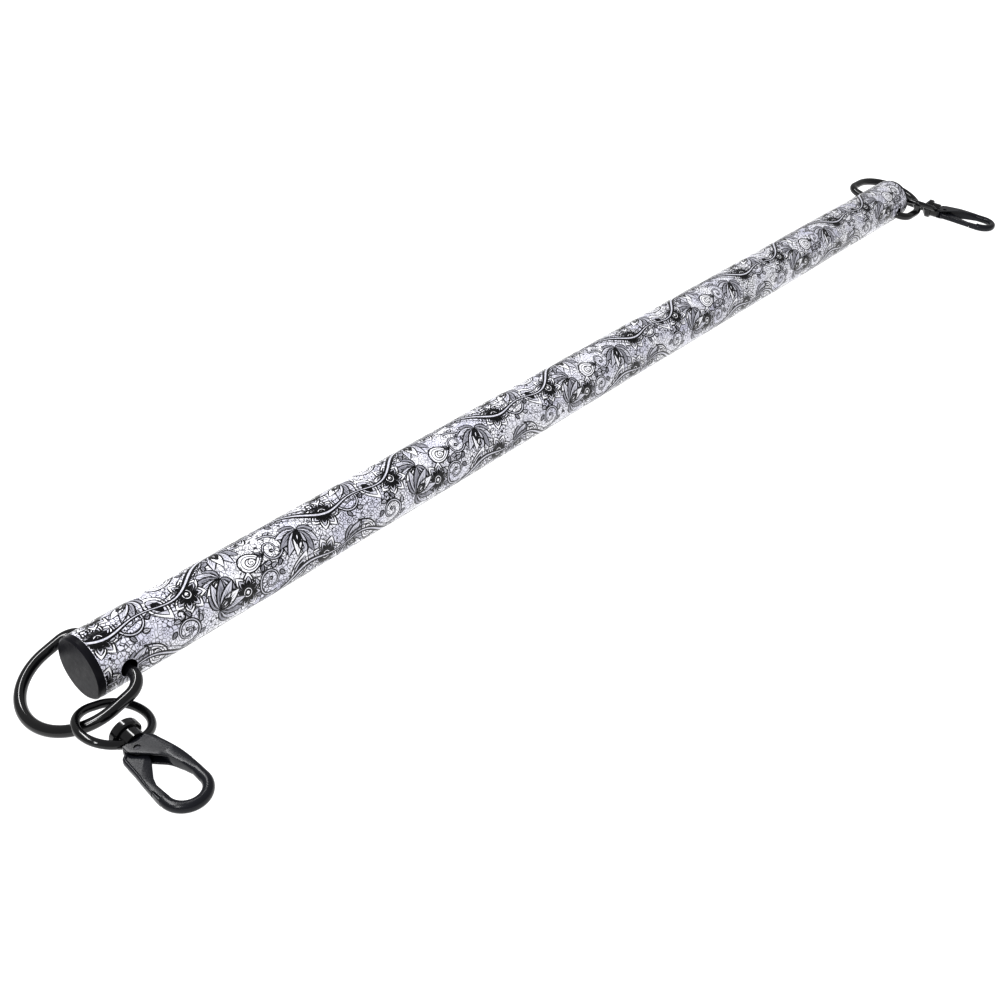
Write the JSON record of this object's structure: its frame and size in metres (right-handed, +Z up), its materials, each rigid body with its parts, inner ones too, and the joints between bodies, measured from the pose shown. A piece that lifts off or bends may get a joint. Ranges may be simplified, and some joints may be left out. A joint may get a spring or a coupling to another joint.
{
  "type": "spreader bar",
  "caption": "Straight round bar in a printed lace film, with a plug cap, a loose D-ring and a swivel snap hook at each end.",
  "frame": {"origin": "on the resting surface, midway between the two end caps and straight under the tube's centreline", "axes": "+X along the tube towards the right end cap, +Z up, both snap hooks lie towards -Y"},
  "size_m": [0.6761, 0.1013, 0.026],
  "materials": {
    "lace_film": "glossy clear film printed with a black and grey lace pattern on pearl white",
    "tube_steel": "drawn tube, seen only at the cross holes",
    "cap_plastic": "satin moulded black",
    "black_metal": "glossy black plating",
    "hook_metal": "satin black plating over a casting",
    "pin_steel": "dark oiled steel"
  },
  "bodies": {
    "bar": {"tube": "tube_steel", "film_sleeve": "lace_film", "left_end_cap": "cap_plastic", "right_end_cap": "cap_plastic"},
    "left_ring": {"left_d_ring": "black_metal"},
    "left_swivel_eye": {"left_eye": "black_metal"},
    "left_snap_hook": {"left_stud": "black_metal", "left_hook": "hook_metal", "left_gate_pin": "pin_steel", "left_gate_spring": "pin_steel"},
    "left_hook_gate": {"left_gate": "hook_metal"},
    "right_ring": {"right_d_ring": "black_metal"},
    "right_swivel_eye": {"right_eye": "black_metal"},
    "right_snap_hook": {"right_stud": "black_metal", "right_hook": "hook_metal", "right_gate_pin": "pin_steel", "right_gate_spring": "pin_steel"},
    "right_hook_gate": {"right_gate": "hook_metal"}
  },
  "joints": [
    {"name": "left_ring_swing", "type": "hinge", "parent": "bar", "child": "left_ring", "pos_m": [-0.2974, 0.00003, 0.01175], "axis": [0, 0.9994, 0.0349], "range_deg": [-120, 150]},
    {"name": "left_eye_swing", "type": "hinge", "parent": "left_ring", "child": "left_swivel_eye", "pos_m": [-0.31421, -0.02011, 0.00497], "axis": [-0.9199, 0.222, -0.3234], "range_deg": [-90, 90]},
    {"name": "left_swivel", "type": "hinge", "parent": "left_swivel_eye", "child": "left_snap_hook", "pos_m": [-0.31446, -0.03673, 0.00479], "axis": [-0.0331, -0.997, -0.0706], "continuous": true},
    {"name": "left_gate_hinge", "type": "hinge", "parent": "left_snap_hook", "child": "left_hook_gate", "pos_m": [-0.31644, -0.04205, 0.00441], "axis": [-0.0023, -0.0706, 0.9975], "range_deg": [0, 22], "stiffness_Nm_per_rad": 0.02, "springref_deg": -20.05},
    {"name": "right_ring_swing", "type": "hinge", "parent": "bar", "child": "right_ring", "pos_m": [0.2974, 0.00314, 0.01253], "axis": [0, -0.9681, -0.2504], "range_deg": [-110, 100]},
    {"name": "right_eye_swing", "type": "hinge", "parent": "right_ring", "child": "right_swivel_eye", "pos_m": [0.32473, -0.01248, 0.01018], "axis": [-0.7092, -0.4369, -0.5533], "range_deg": [-60, 75]},
    {"name": "right_swivel", "type": "hinge", "parent": "right_swivel_eye", "child": "right_snap_hook", "pos_m": [0.32805, -0.02523, 0.00617], "axis": [0.1726, -0.979, -0.1083], "continuous": true},
    {"name": "right_gate_hinge", "type": "hinge", "parent": "right_snap_hook", "child": "right_hook_gate", "pos_m": [0.32721, -0.03083, 0.00558], "axis": [0.0188, -0.1067, 0.9941], "range_deg": [0, 22], "stiffness_Nm_per_rad": 0.02, "springref_deg": -20.05}
  ]
}
